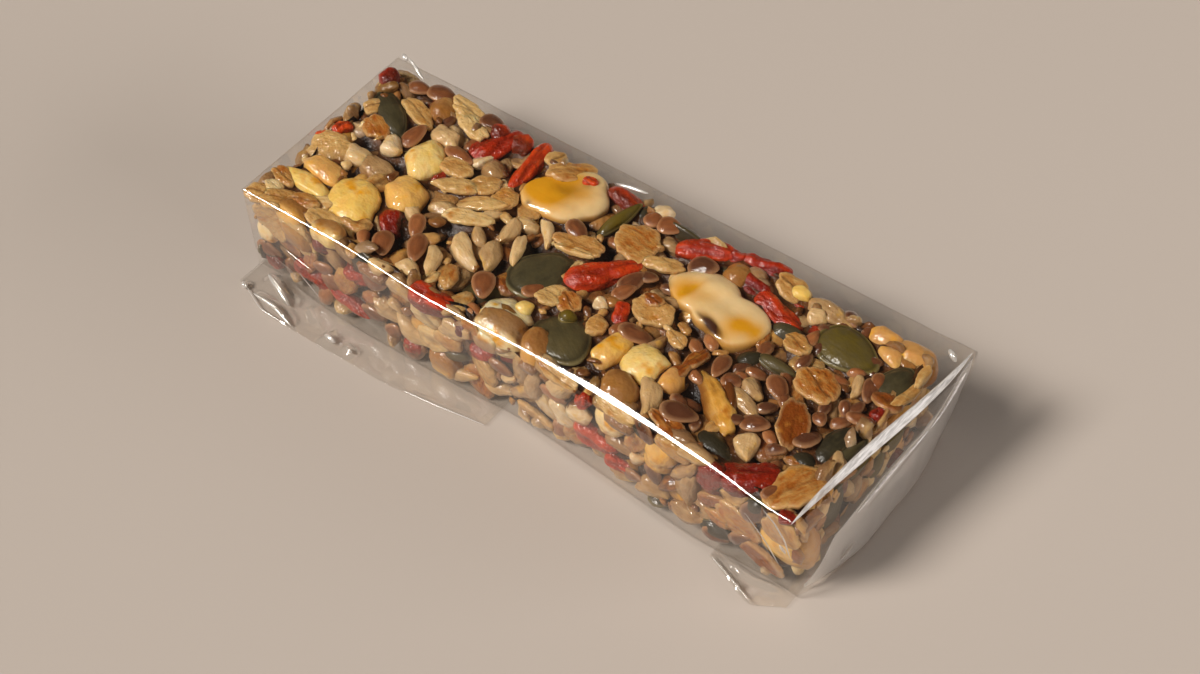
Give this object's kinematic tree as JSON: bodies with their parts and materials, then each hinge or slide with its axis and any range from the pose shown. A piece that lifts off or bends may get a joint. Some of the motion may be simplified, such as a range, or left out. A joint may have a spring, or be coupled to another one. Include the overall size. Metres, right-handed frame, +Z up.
{
  "type": "granola bar",
  "caption": "Oblong bar of seeds, nuts, flakes and dried berries set in syrup, wrapped in clear film with folded ends and flat corner tucks.",
  "frame": {"origin": "centre of the bounding box at the table under the wrapped bar", "axes": "+X along the bar towards the loose folded end, +Y away from the viewer across the bar, +Z up"},
  "size_m": [0.1078, 0.05, 0.0181],
  "materials": {
    "granola": "seeds, nuts, flakes and dried berries glazed with syrup under clear glossy film"
  },
  "bodies": {
    "root": {"wrapped_bar": "granola"}
  },
  "joints": []
}
